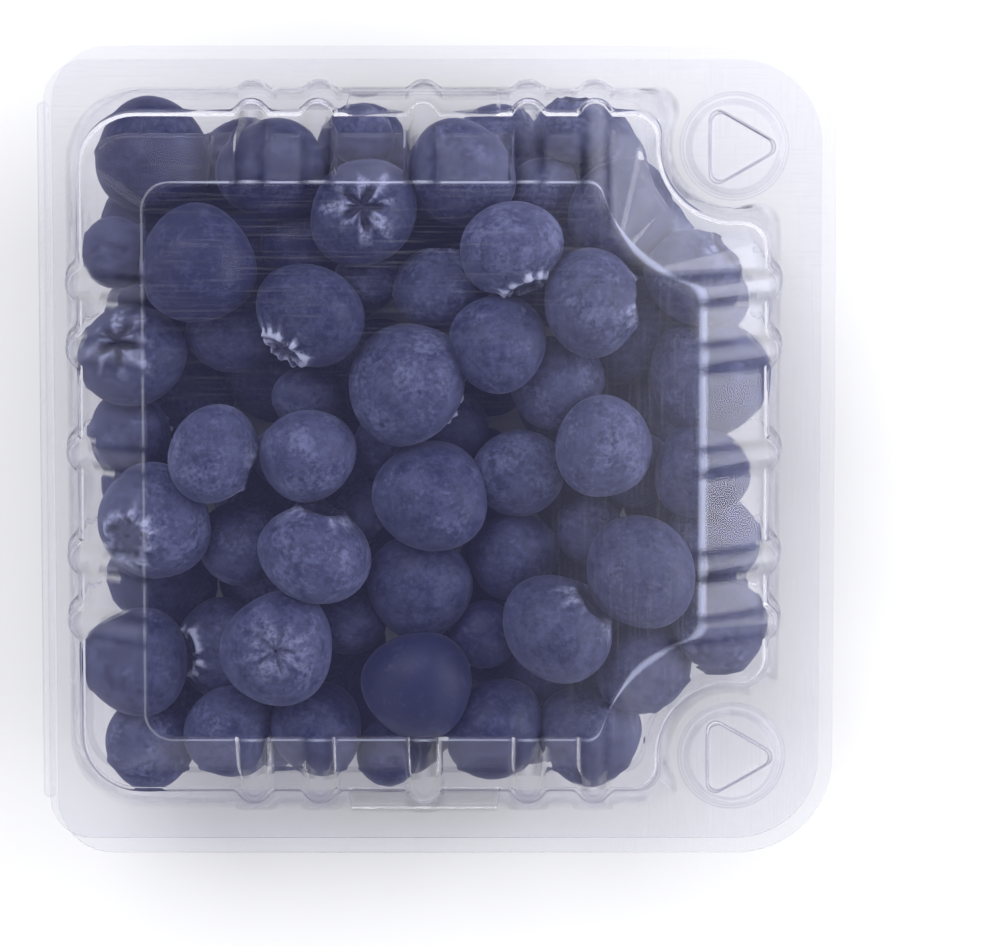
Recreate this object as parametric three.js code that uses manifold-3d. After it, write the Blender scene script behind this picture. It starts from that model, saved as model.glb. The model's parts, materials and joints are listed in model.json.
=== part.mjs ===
// A punnet of blueberries: a shut clear PET clamshell, hinged along one edge, full of fruit.
// Millimetres, +Z up. The origin is on the floor under the middle of the pack. The hinge runs
// along the -X edge, and the two snap buttons are at the +X corners.
import * as THREE from "three";
import { mergeVertices } from "three/addons/utils/BufferGeometryUtils.js";
import Module from "manifold-3d";

const wasm = await Module();
wasm.setup();

// The pressed sheet and the fit of the two halves
const sheet = 0.5;
const clearance = 0.3;
const tubHeight = 24.5;
const lidRise = 10;
const ledgeRise = 2;
const stepDraft = 0.3;

// The flange, seen from above
const packWidth = 114;
const packLength = 117;
const hingeCorner = 8;
const buttonCorner = 14;
const tubFlangeInset = 2;

// The lid's raised body: its outline at the flange, its ledge and its flat top panel
const bodyWest = -52;
const bodyEast = 47.6;
const bodyHalfLength = 49.4;
const bodyMiddle = (bodyWest + bodyEast) / 2;
const bodyCorner = 8.5;
const smallestCorner = 4;
const panelInset = 9.1;
const sideLedge = 1.1;
const endLedge = 3.3;
const notchLedge = 2.2;
const notchRadius = 10.4;
const notchFillet = 3.3;
const panelFillet = 2.2;

// The ribs that stiffen every side, placed from the middle of the side
const ribPlaces = [-24.5, -15, 0, 15, 24.5];
const ribWidth = 5;
const innerRibWidth = 4.2;
const ribReach = 1.8;
const ribDraft = 0.6;
const ribMargin = 0.4;
const ribShape = [
  [-0.5, 0],
  [-0.25, 1],
  [0.25, 1],
  [0.5, 0],
];

// The tub's mouth stands outside the lid's outline, and its walls lean in towards the base
const mouthOutX = 1.2;
const mouthOutY = 2.7;
const wallLean = 4;
const ribShoulder = 17;
const footRound = 2;

// The snap button in each +X corner: a round boss with a rounded triangle sunk in its top
const button = { x: 42.4, y: 44.2 };
const buttonRadius = 7.7;
const buttonDraft = 0.9;
const lidButtonRise = 1.6;
const tubButtonRise = 0.6;
const triangleReach = 5.3;
const triangleRound = 1.3;
const triangleDepth = 0.8;

// The air bay in the lid's flange at the middle of both ends
const bayLength = 21.5;
const bayReach = 2.8;
const bayRise = 0.9;

// The hinge bead that joins the two flanges
const beadRadius = 0.9;
const beadLength = 101;

// Heights of the two flanges' upper faces, and of the panel
const tubFlange = tubHeight;
const lidFlange = tubHeight + clearance + sheet;
const panelTop = lidFlange + lidRise;
const hinge = { x: -packWidth / 2 + beadRadius, z: tubFlange + clearance / 2 };

// The fruit that shows under the lid, the highest first: place from above and diameter, then
// for those whose crown shows, how far it leans from straight up and towards which side
const topFruit = [
  [-3.9, 10.5, 17.5],
  [-18.1, 20.1, 15.8, 78, 232],
  [10.2, 31, 14.8, 80, 292],
  [0.3, -5.9, 16.2],
  [-22.8, -27.8, 16, 6, 100],
  [-4.6, -43.4, 16.4],
  [8.8, 15.7, 13.6],
  [21.6, 23.4, 15.4, 88, 0],
  [-17.7, -15, 15.8, 86, 80],
  [-40.6, -8.9, 16.4, 34, 204],
  [-44.2, 12.1, 14.2, 32, 120],
  [-3, -33.4, 15.6],
  [16.7, -25.4, 16.2, 75, 40],
  [29.6, -16.9, 15.6],
  [-10.6, 34.7, 14, 14, 90],
  [26.2, 33.2, 15.2],
  [-41.3, 42.8, 15.6],
  [38.4, 10.1, 17],
  [-32.6, -0.4, 14.2, 88, 340],
  [-43.2, -34, 14.8],
  [-33.3, -32, 14.2, 80, 178],
  [36.8, 24.9, 14.4, 74, 48],
  [-18.7, 0, 13.6],
  [5.1, 38.1, 15.8],
  [-23.6, 40.2, 15.2],
  [16.8, 9.8, 13.4],
  [10.6, -3.7, 13.4],
  [38.7, -14.3, 13.8],
  [38.4, -2.7, 13.4],
  [39, -24.7, 13.8],
  [-2.6, -21.4, 15.2],
  [11.3, -16.5, 13],
  [23.6, 1.4, 14.4],
  [31.6, 16.6, 15.4],
  [-34.8, 26.8, 15],
  [-40, -43, 12.8],
  [-29.4, -43, 13.2],
  [-17.5, -43.5, 13.4],
  [9.1, -40.5, 14.6],
  [22.2, -40.5, 14.6],
  [32.6, -31.2, 13.8],
];
const hiddenCrown = { tilt: 95, spread: 80 };
const fruitFlatness = 0.86;
const fruitSquash = 0.93;
const fruitFacets = 1;

// The fruit below it, on the tub's floor
const floorRows = 6;
const floorSmallest = 13;
const floorSpread = 3.4;
const floorJitter = 1.6;
const fruitFloor = sheet + clearance;
const settleRounds = 200;
const deepestTop = 9;
const aimPull = 0.08;
const aimLift = 0.05;
const fruitSeed = 7;

// The block of packed fruit behind what shows
const coreInset = 9.5;
const coreBottom = 6;
const coreTop = 26;

const clearPet = { color: 0xdcdce6, roughness: 0.08, metalness: 0, transparent: true, opacity: 0.35 };
const fruitSkin = { color: 0x4c5180, roughness: 0.7, metalness: 0 };

// How finely round shapes are divided, and how near two points are one
const cornerSteps = 3;
const filletSteps = 2;
const notchSteps = 4;
const notchPoints = 2 * filletSteps + notchSteps + 1;
const bossSides = 24;
const triangleSteps = 3;
const beadSteps = { end: 3, round: 10 };
const weld = 1e-4;
const sliver = 0.02;

// A closed geometry as a solid that can be joined and cut
function solidOf(geometry) {
  const bare = geometry.clone();
  bare.deleteAttribute("normal");
  bare.deleteAttribute("uv");
  const merged = mergeVertices(bare, weld);
  return new wasm.Manifold(
    new wasm.Mesh({
      numProp: 3,
      vertProperties: new Float32Array(merged.attributes.position.array),
      triVerts: new Uint32Array(merged.index.array),
    }),
  );
}

function geometryOf(solid) {
  const { vertProperties, triVerts } = solid.getMesh();
  const geometry = new THREE.BufferGeometry();
  geometry.setAttribute("position", new THREE.BufferAttribute(vertProperties, 3));
  geometry.setIndex(new THREE.BufferAttribute(triVerts, 1));
  geometry.computeVertexNormals();
  return geometry;
}

// A joined solid's mesh without the slivers that joining leaves: close points become one, and
// the faces that this flattens or lays back to back are dropped
function withoutSlivers(geometry) {
  const bare = geometry.clone().deleteAttribute("normal");
  const merged = mergeVertices(bare, sliver);
  const index = merged.index.array;
  const faces = new Map();
  for (let i = 0; i < index.length; i += 3) {
    const face = [index[i], index[i + 1], index[i + 2]];
    const corners = [...face].sort((a, b) => a - b);
    if (corners[0] === corners[1] || corners[1] === corners[2]) continue;
    const key = corners.join();
    if (faces.has(key)) faces.delete(key);
    else faces.set(key, face);
  }
  merged.setIndex([...faces.values()].flat());
  return merged;
}

function piece(name, solid, finish) {
  const geometry = withoutSlivers(geometryOf(solid));
  const mesh = new THREE.Mesh(geometry, new THREE.MeshStandardMaterial(finish));
  mesh.name = name;
  return mesh;
}

// Points of an arc from one angle to another, both ends included
function arc(x, y, radius, from, to, steps) {
  return Array.from({ length: steps + 1 }, (_, i) => {
    const angle = from + ((to - from) * i) / steps;
    return [x + radius * Math.cos(angle), y + radius * Math.sin(angle)];
  });
}

// The north-east corner from its east side to its north side. With a notch it gives way to the
// button in a hollow arc between two fillets, and without one it is a plain round corner.
function buttonCornerPoints({ east, half, notch, fillet, round }) {
  if (!notch) return arc(east - round, half - round, round, 0, Math.PI / 2, notchPoints - 1);
  const reach = notch + fillet;
  const eastX = east - fillet;
  const northY = half - fillet;
  const eastY = button.y - Math.sqrt(reach ** 2 - (eastX - button.x) ** 2);
  const northX = button.x - Math.sqrt(reach ** 2 - (northY - button.y) ** 2);
  const eastTurn = Math.atan2(button.y - eastY, button.x - eastX);
  const northTurn = Math.atan2(button.y - northY, button.x - northX);
  const hollow = arc(button.x, button.y, notch, eastTurn + Math.PI, northTurn + Math.PI, notchSteps);
  return [
    ...arc(eastX, eastY, fillet, 0, eastTurn, filletSteps),
    ...hollow.slice(1, -1),
    ...arc(northX, northY, fillet, northTurn, Math.PI / 2, filletSteps),
  ];
}

// The places of the rib points along a side whose straight stretch ends at a notch. Where it is
// too short for the last rib, that rib's points are drawn together.
function ribPoints(width, end = Infinity) {
  const [lastFree, last] = ribPlaces.slice(-2).map((place) => place + width / 2);
  const share = Math.min(1, (end - ribMargin - lastFree) / (last - lastFree));
  return ribPlaces.flatMap((place) =>
    ribShape.map(([along, out]) => {
      const at = place + along * width;
      return [at > lastFree ? lastFree + share * (at - lastFree) : at, out];
    }),
  );
}

// One loop of the sheet seen from above, counterclockwise, at height z. Every loop has the same
// number of points, so that a strip joins any two of them.
function loop({ west, east, half, corner, notch, fillet, round, ribX = 0, ribY = 0, width = ribWidth, z }) {
  const northEast = buttonCornerPoints({ east, half, notch, fillet, round });
  const southEast = northEast.map(([x, y]) => [x, -y]).reverse();
  const ends = ribPoints(width, northEast.at(-1)[0] - bodyMiddle);
  const halfSide = (ribPlaces.length * ribShape.length) / 2;
  const eastUp = ribPoints(width, northEast[0][1]).slice(-halfSide);
  const eastDown = eastUp.map(([along, out]) => [-along, out]).reverse();
  const outline = [
    ...ends.map(([along, out]) => [bodyMiddle + along, -half - ribY * out]),
    ...southEast,
    ...[...eastDown, ...eastUp].map(([along, out]) => [east + ribX * out, along]),
    ...northEast,
    ...[...ends].reverse().map(([along, out]) => [bodyMiddle + along, half + ribY * out]),
    ...arc(west + corner, half - corner, corner, Math.PI / 2, Math.PI, cornerSteps),
    ...ribPoints(width).reverse().map(([along, out]) => [west - ribX * out, along]),
    ...arc(west + corner, corner - half, corner, Math.PI, 1.5 * Math.PI, cornerSteps),
  ];
  return outline.map(([x, y]) => new THREE.Vector3(x, y, z));
}

// A closed sheet between two stacks of loops. Each stack runs from the rim inwards, and its last
// loop is closed by a flat fan round its middle.
function sheetSolid(upper, lower) {
  const loops = [...upper, ...lower];
  const count = upper[0].length;
  const hubs = [upper.at(-1)[0].z, lower.at(-1)[0].z].map((z) => new THREE.Vector3(bodyMiddle, 0, z));
  const index = [];
  const round = (join) => {
    for (let i = 0; i < count; i++) join(i, (i + 1) % count);
  };
  const strip = (a, b) =>
    round((i, j) => {
      index.push(a * count + i, a * count + j, b * count + j);
      index.push(a * count + i, b * count + j, b * count + i);
    });
  for (let a = 0; a + 1 < upper.length; a++) strip(a, a + 1);
  for (let a = upper.length; a + 1 < loops.length; a++) strip(a + 1, a);
  strip(upper.length, 0);
  const hub = loops.length * count;
  round((i, j) => index.push((upper.length - 1) * count + i, (upper.length - 1) * count + j, hub));
  round((i, j) => index.push(hub - count + j, hub - count + i, hub + 1));
  const geometry = new THREE.BufferGeometry().setFromPoints([...loops.flat(), ...hubs]);
  geometry.setIndex(index);
  return solidOf(geometry);
}

// The flange's outline, drawn in from the pack's full size
function flangeLoop(inset, westEdge, z) {
  return loop({
    west: westEdge,
    east: packWidth / 2 - inset,
    half: packLength / 2 - inset,
    corner: hingeCorner - inset,
    round: buttonCorner - inset,
    z,
  });
}

// The body's outline, drawn in by an amount that may differ between sides, ends and notches
function bodyLoop({ inX, inY = inX, inNotch = inX, fillet = notchFillet, ...rest }) {
  return loop({
    west: bodyWest + inX,
    east: bodyEast - inX,
    half: bodyHalfLength - inY,
    corner: Math.max(bodyCorner - (inX + inY) / 2, smallestCorner),
    notch: notchRadius + inNotch,
    fillet,
    ...rest,
  });
}

// A round button boss and its rounded triangle, as turned and extruded blocks
function turned(x, y, rings) {
  const profile = [[0, rings[0][1]], ...rings, [0, rings.at(-1)[1]]];
  const points = profile.map(([r, z]) => new THREE.Vector2(r, z));
  const geometry = new THREE.LatheGeometry(points, bossSides);
  geometry.rotateX(Math.PI / 2);
  geometry.translate(x, y, 0);
  return solidOf(geometry);
}

function boss(x, y, grow, bottom, top) {
  return turned(x, y, [
    [buttonRadius + grow, bottom],
    [buttonRadius - buttonDraft + grow, top],
  ]);
}

function triangle(x, y, grow, bottom, top) {
  const reach = triangleReach - triangleRound;
  const round = triangleRound + grow;
  const shape = new THREE.Shape();
  for (let i = 0; i < 3; i++) {
    const turn = (i * 2 * Math.PI) / 3;
    const centre = [x + reach * Math.cos(turn), y + reach * Math.sin(turn)];
    shape.absarc(...centre, round, turn - Math.PI / 3, turn + Math.PI / 3, false);
  }
  const geometry = new THREE.ExtrudeGeometry(shape, {
    depth: top - bottom,
    bevelEnabled: false,
    curveSegments: triangleSteps,
  });
  geometry.translate(0, 0, bottom);
  return solidOf(geometry);
}

// The raised bay at the middle of an end, from inside the wall to past the outline
function bay(side, grow, bottom, top) {
  const length = bayLength + 2 * grow;
  const reach = bayReach + grow;
  const depth = reach + endLedge / 2;
  const geometry = new THREE.BoxGeometry(length, depth, top - bottom);
  const y = side * (bodyHalfLength + reach - depth / 2);
  geometry.translate(bodyMiddle, y, (bottom + top) / 2);
  return solidOf(geometry);
}

const sides = [-1, 1];

function lid() {
  const west = hinge.x + beadRadius + clearance;
  const face = (down, width) => [
    flangeLoop(0, west, lidFlange - down),
    bodyLoop({ inX: down, ribX: ribReach, ribY: ribReach, width, z: lidFlange - down }),
    bodyLoop({
      inX: stepDraft + down,
      ribX: ribReach,
      ribY: ribReach,
      width,
      z: lidFlange + ledgeRise - down,
    }),
    bodyLoop({
      inX: sideLedge + down,
      inY: endLedge + down,
      inNotch: notchLedge + down,
      ribX: sideLedge + ribReach - ribDraft,
      ribY: endLedge + ribReach - ribDraft,
      width,
      z: lidFlange + ledgeRise - down,
    }),
    bodyLoop({ inX: panelInset + down, fillet: panelFillet, width, z: panelTop - down }),
  ];
  let made = sheetSolid(face(0, ribWidth), face(sheet, innerRibWidth));
  const top = lidFlange + lidButtonRise;
  for (const side of sides) {
    const y = side * button.y;
    made = made
      .add(boss(button.x, y, 0, lidFlange - sheet, top))
      .subtract(boss(button.x, y, -sheet, lidFlange - 2 * sheet, top - sheet))
      .add(triangle(button.x, y, sheet, top - triangleDepth - sheet, top - sheet / 2))
      .subtract(triangle(button.x, y, 0, top - triangleDepth, top + sheet))
      .add(bay(side, 0, lidFlange - sheet, lidFlange + bayRise))
      .subtract(bay(side, -sheet, lidFlange - 2 * sheet, lidFlange + bayRise - sheet));
  }
  return made;
}

// The wall's loop at a height, leaning in from the mouth to the base
function wallLoop(height, { out = 0, ...rest }) {
  const lean = wallLean * (1 - height / tubFlange) - out;
  return bodyLoop({
    inX: lean - mouthOutX,
    inY: lean - mouthOutY,
    inNotch: lean - mouthOutX,
    z: height,
    ...rest,
  });
}

function tub() {
  const foot = sheet + footRound;
  const face = (down, width) => [
    flangeLoop(tubFlangeInset, hinge.x, tubFlange - down),
    wallLoop(tubFlange, { out: down, width, z: tubFlange - down }),
    wallLoop(ribShoulder, { out: down, width, ribX: ribReach, ribY: ribReach, z: ribShoulder - down }),
    wallLoop(foot, { out: down, width, ribX: ribReach / 2, ribY: ribReach / 2, z: foot - down }),
    wallLoop(sheet, { out: down - footRound, width, z: sheet - down }),
  ];
  let made = sheetSolid(face(0, innerRibWidth), face(sheet, ribWidth));
  const grow = -sheet - clearance;
  const top = tubFlange + tubButtonRise;
  for (const side of sides) {
    const y = side * button.y;
    made = made
      .add(boss(button.x, y, grow, tubFlange - sheet, top))
      .subtract(boss(button.x, y, grow - sheet, tubFlange - 2 * sheet, top - sheet));
  }
  return made.add(bead());
}

// The rolled bead along the hinge, with round ends
function bead() {
  const straight = beadLength - 2 * beadRadius;
  const geometry = new THREE.CapsuleGeometry(beadRadius, straight, beadSteps.end, beadSteps.round);
  geometry.translate(hinge.x, 0, hinge.z);
  return solidOf(geometry);
}

// Repeatable draws from 0 to 1
function drawsFrom(seed) {
  const factor = 16807;
  const range = 2 ** 31 - 1;
  let state = seed;
  return () => {
    state = (state * factor) % range;
    return state / range;
  };
}

// How far a point is inside the body's outline, to each side, each end and the nearer notch
function wallDistances(x, y) {
  const notch = Math.sqrt((x - button.x) ** 2 + (Math.abs(y) - button.y) ** 2) - notchRadius;
  return [
    [x - bodyWest, sideLedge, mouthOutX],
    [bodyEast - x, sideLedge, mouthOutX],
    [bodyHalfLength - Math.abs(y), endLedge, mouthOutY],
    [notch, notchLedge, mouthOutX],
  ];
}

// The highest place of a berry's centre under the lid: its skin stays below the line from the
// lid's foot to its ledge, the line from there to the panel, and the panel itself
function ceiling(x, y, radius) {
  const room = radius + clearance;
  const foot = lidFlange - sheet;
  const ledge = foot + ledgeRise;
  const panel = panelTop - sheet;
  const limits = wallDistances(x, y).flatMap(([inside, width]) => {
    const low = Math.sqrt(width ** 2 + ledgeRise ** 2);
    const run = panelInset - width;
    const rise = panel - ledge;
    const slope = Math.sqrt(run ** 2 + rise ** 2);
    return [
      foot + (ledgeRise * (inside - sheet) - room * low) / width,
      ledge + (rise * (inside - sheet - width) - room * slope) / run,
    ];
  });
  return Math.min(panel - room, ...limits);
}

// Moves a berry that would cross the tub's wall or a notch straight inwards
function keepInside(berry) {
  const room = berry.radius + clearance + sheet;
  const share = (tubFlange - berry.z) / tubFlange;
  const [west, east, end, notch] = wallDistances(berry.x, berry.y).map(
    ([inside, , out]) => room - (inside + out - wallLean * share),
  );
  if (notch > 0) {
    const dx = berry.x - button.x;
    const dy = Math.abs(berry.y) - button.y;
    const far = Math.sqrt(dx * dx + dy * dy);
    berry.x += (notch * dx) / far;
    berry.y += (notch * dy * Math.sign(berry.y)) / far;
  }
  if (west > 0) berry.x += west;
  if (east > 0) berry.x -= east;
  if (end > 0) berry.y -= end * Math.sign(berry.y);
}

// The fruit under the lid, each as high as the lid and the fruit before it allow. A crown that
// doesn't show points down to any side.
function placeTopFruit(draw) {
  const placed = [];
  for (const [x, y, diameter, ...crown] of topFruit) {
    const [tilt = hiddenCrown.tilt + hiddenCrown.spread * draw(), heading = 360 * draw()] = crown;
    const radius = diameter / 2;
    const highest = ceiling(x, y, radius);
    const berry = { x, y, z: highest, radius, tilt, heading, aim: { x, y } };
    for (const other of placed) {
      const touch = fruitSquash * (berry.radius + other.radius);
      const gap = touch ** 2 - (x - other.x) ** 2 - (y - other.y) ** 2;
      if (gap > 0) berry.z = Math.min(berry.z, other.z - Math.sqrt(gap));
    }
    berry.z = Math.max(berry.z, highest - deepestTop);
    placed.push(berry);
  }
  return placed;
}

// The fruit on the floor, scattered over a grid
function placeFloorFruit(draw) {
  const stepX = (bodyEast - bodyWest) / floorRows;
  const stepY = (2 * bodyHalfLength) / floorRows;
  const placed = [];
  for (let row = 0; row < floorRows; row++) {
    for (let column = 0; column < floorRows; column++) {
      const radius = (floorSmallest + floorSpread * draw()) / 2;
      placed.push({
        x: bodyWest + stepX * (column + 0.5) + floorJitter * (2 * draw() - 1),
        y: stepY * (row + 0.5) - bodyHalfLength + floorJitter * (2 * draw() - 1),
        z: fruitFloor + radius,
        radius,
        tilt: 180 * draw(),
        heading: 360 * draw(),
      });
    }
  }
  return placed;
}

// Shakes the fruit until none crosses another, the tub or the lid. What shows from above is
// drawn back to its place in each round.
function settle(berries) {
  for (let round = 0; round < settleRounds; round++) {
    for (const berry of berries) {
      for (const other of berries) {
        if (other === berry) continue;
        const dx = berry.x - other.x;
        const dy = berry.y - other.y;
        const dz = berry.z - other.z;
        const apart = Math.sqrt(dx * dx + dy * dy + dz * dz);
        const push = fruitSquash * (berry.radius + other.radius) - apart;
        if (push <= 0) continue;
        const share = (0.5 * push) / apart;
        berry.x += share * dx;
        berry.y += share * dy;
        berry.z += share * dz;
        other.x -= share * dx;
        other.y -= share * dy;
        other.z -= share * dz;
      }
    }
    for (const berry of berries) {
      if (berry.aim) {
        berry.x += aimPull * (berry.aim.x - berry.x);
        berry.y += aimPull * (berry.aim.y - berry.y);
        berry.z += aimLift;
      } else {
        berry.z -= aimLift;
      }
      keepInside(berry);
      berry.z = Math.min(berry.z, ceiling(berry.x, berry.y, berry.radius));
      berry.z = Math.max(berry.z, fruitFloor + berry.radius);
    }
  }
}

function berrySolid({ x, y, z, radius, tilt, heading }) {
  const geometry = new THREE.IcosahedronGeometry(radius, fruitFacets);
  geometry.scale(1, 1, fruitFlatness);
  geometry.rotateY(THREE.MathUtils.degToRad(tilt));
  geometry.rotateZ(THREE.MathUtils.degToRad(heading));
  geometry.translate(x, y, z);
  return solidOf(geometry);
}

function heap() {
  const draw = drawsFrom(fruitSeed);
  const top = placeTopFruit(draw);
  const berries = [...top, ...placeFloorFruit(draw)];
  settle(berries);
  const core = sheetSolid(
    [bodyLoop({ inX: coreInset, z: coreTop })],
    [bodyLoop({ inX: coreInset, z: coreBottom })],
  );
  return berries.reduce((whole, berry) => whole.add(berrySolid(berry)), core);
}

const punnet = new THREE.Group();
punnet.add(piece("tub", tub(), clearPet));
punnet.add(piece("lid", lid(), clearPet));
punnet.add(piece("blueberries", heap(), fruitSkin));

export default punnet;
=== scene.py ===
import json
import math
from functools import partial

import bmesh
import bpy
import numpy as np
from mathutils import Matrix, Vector

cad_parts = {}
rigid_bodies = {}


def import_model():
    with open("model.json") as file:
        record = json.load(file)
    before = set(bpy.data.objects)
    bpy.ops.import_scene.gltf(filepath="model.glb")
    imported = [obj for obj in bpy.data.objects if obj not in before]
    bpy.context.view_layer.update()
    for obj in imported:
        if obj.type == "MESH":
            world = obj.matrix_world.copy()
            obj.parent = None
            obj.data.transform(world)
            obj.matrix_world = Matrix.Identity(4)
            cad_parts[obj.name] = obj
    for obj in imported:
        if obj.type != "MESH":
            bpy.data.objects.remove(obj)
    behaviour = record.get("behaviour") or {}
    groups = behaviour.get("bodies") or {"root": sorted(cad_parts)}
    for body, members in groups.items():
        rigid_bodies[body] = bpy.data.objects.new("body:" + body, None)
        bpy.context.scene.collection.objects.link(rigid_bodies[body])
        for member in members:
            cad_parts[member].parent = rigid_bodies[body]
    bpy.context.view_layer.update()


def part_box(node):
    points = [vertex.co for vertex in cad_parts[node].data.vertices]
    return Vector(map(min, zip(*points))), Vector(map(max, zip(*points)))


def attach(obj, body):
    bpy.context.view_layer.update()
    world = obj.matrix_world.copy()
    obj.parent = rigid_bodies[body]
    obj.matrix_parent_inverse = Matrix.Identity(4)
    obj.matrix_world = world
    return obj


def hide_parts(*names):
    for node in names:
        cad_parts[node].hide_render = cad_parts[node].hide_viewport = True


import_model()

# A shut clear punnet of blueberries. It stands at the origin, with its hinge along the -X edge
# and its snap buttons at the +X corners. Sizes are in millimetres up to the point where a mesh
# is written, and mm turns them to metres.
mm = 0.001
scene = bpy.context.scene
print("frame loaded")


def linearColor(hexColor):  # "#7c86bc" as the linear numbers that a socket takes
    channels = [int(hexColor[i:i + 2], 16) / 255 for i in (1, 3, 5)]
    return (*[c / 12.92 if c <= 0.04045 else ((c + 0.055) / 1.055) ** 2.4 for c in channels], 1.0)


def addNode(tree, kind, inputs=None, **settings):  # gives the new node's outputs
    node = tree.nodes.new(kind)
    for name, value in settings.items():
        setattr(node, name, value)
    for name, value in (inputs or {}).items():
        if isinstance(value, bpy.types.bpy_prop_collection):
            value = value[0]  # a node's outputs stand for the first of them
        if isinstance(value, bpy.types.NodeSocket):
            tree.links.new(value, node.inputs[name])
        elif isinstance(value, str) and value.startswith("#"):
            node.inputs[name].default_value = linearColor(value)
        else:
            node.inputs[name].default_value = value
    return node.outputs


def newMaterial(name):  # an empty material, and addNode for its tree
    material = bpy.data.materials.new(name)
    material.use_nodes = True
    material.node_tree.nodes.clear()
    return material, partial(addNode, material.node_tree)


def newObject(name, mesh):
    made = bpy.data.objects.new(name, mesh)
    scene.collection.objects.link(made)
    return made


def groupTree(name, sockets):  # a Geometry Nodes tree, addNode for it, and its inputs
    tree = bpy.data.node_groups.new(name, "GeometryNodeTree")
    for label, kind in (("Geometry", "Geometry"), *sockets, ("Material", "Material")):
        tree.interface.new_socket(label, in_out="INPUT", socket_type="NodeSocket" + kind)
    tree.interface.new_socket("Geometry", in_out="OUTPUT", socket_type="NodeSocketGeometry")
    return tree, partial(addNode, tree), addNode(tree, "NodeGroupInput")


def endTree(add, source, geometry):  # makes the tree's result one mesh, in its material
    whole = add("GeometryNodeRealizeInstances", {"Geometry": geometry})
    dressed = add("GeometryNodeSetMaterial", {"Geometry": whole, "Material": source["Material"]})
    add("NodeGroupOutput", {"Geometry": dressed})


def applyNodes(subject, tree, values):  # runs a tree on an object and keeps the plain mesh
    modifier = subject.modifiers.new(tree.name, "NODES")
    modifier.node_group = tree
    for item in tree.interface.items_tree:
        if item.in_out == "INPUT" and item.name in values:
            modifier[item.identifier] = values[item.name]
    depsgraph = bpy.context.evaluated_depsgraph_get()
    made = bpy.data.meshes.new_from_object(subject.evaluated_get(depsgraph))
    subject.modifiers.clear()
    made.name = subject.name
    return made


def storeOn(mesh, label, kind, values):  # a value for each point of a mesh
    field = "vector" if kind == "FLOAT_VECTOR" else "value"
    mesh.attributes.new(label, kind, "POINT").data.foreach_set(field, values)


def smoothStep(low, high, values):  # 0 up to low, 1 from high on, and smooth between
    t = np.clip((values - low) / (high - low), 0.0, 1.0)
    return t * t * (3 - 2 * t)


# The camera looks down on the pack, from a little towards its +Y end
cameraPlace = {
    "distance": 950.0,
    "lean": 8.5,  # degrees from straight above
    "lens": 238.0,
    "aim": (9.0, -3.0, 24.8),  # a point in the plane of the rim
}


def makeCamera(values):
    lean = math.radians(values["lean"])
    camera = newObject("camera", bpy.data.cameras.new("camera"))
    camera.data.lens = values["lens"]
    camera.data.clip_start = 0.05
    back = Vector((0.0, math.sin(lean), math.cos(lean)))
    camera.location = (Vector(values["aim"]) + back * values["distance"]) * mm
    camera.rotation_euler = (-lean, 0.0, 0.0)
    scene.camera = camera


makeCamera(cameraPlace)


petSheet = {
    "tint": "#f8f8f9",
    "veil": "#8488f0",  # the cast of what it scatters
    "veilWeight": 0.05,
    "veilRoughness": 0.9,
    "crease": "#9a9aac",  # painted shade along a bend, where the real sheet leads the light away
    "rim": "#dde3ff",  # where one catches the light: the stretched sheet's whitening with a painted highlight on it
    "caught": 4.0,  # how soon a bend has the rim's colour
    "gloss": 1.57,
    "coat": 0.2,
    "refraction": 1.08,  # a sheet this thin shows what is behind it hardly bent
    "roughness": 0.03,
    "scuffRoughness": 0.12,
    "haze": 0.005,  # share of the light that a face scatters, where clean and where rubbed
    "scuffHaze": 0.036,
    "eastHaze": 0.017,  # towards the buttons it scatters more, a painted glare
    "eastHazeFrom": 8.0,
    "eastHazeTo": 36.0,
    "scuffLength": 14.0,
    "scuffWidth": 0.4,  # real scuffs are finer, and are as coarse here as they need to show
    "scuffShown": (0.52, 0.78),  # the part of their noise that shows
    "northScuffs": (2.0, 30.0),  # the scuffs that run to the hinge grow between these
    "eastScuffs": (8.0, 34.0),  # and those that run beside it between these
    "shadowFlat": 0.965,
    "shadowSteep": 1.0,
    "steepBlend": 0.3,
    "guideDepth": 5,  # a ray that the sheet has turned more often than this goes straight on
}


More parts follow.
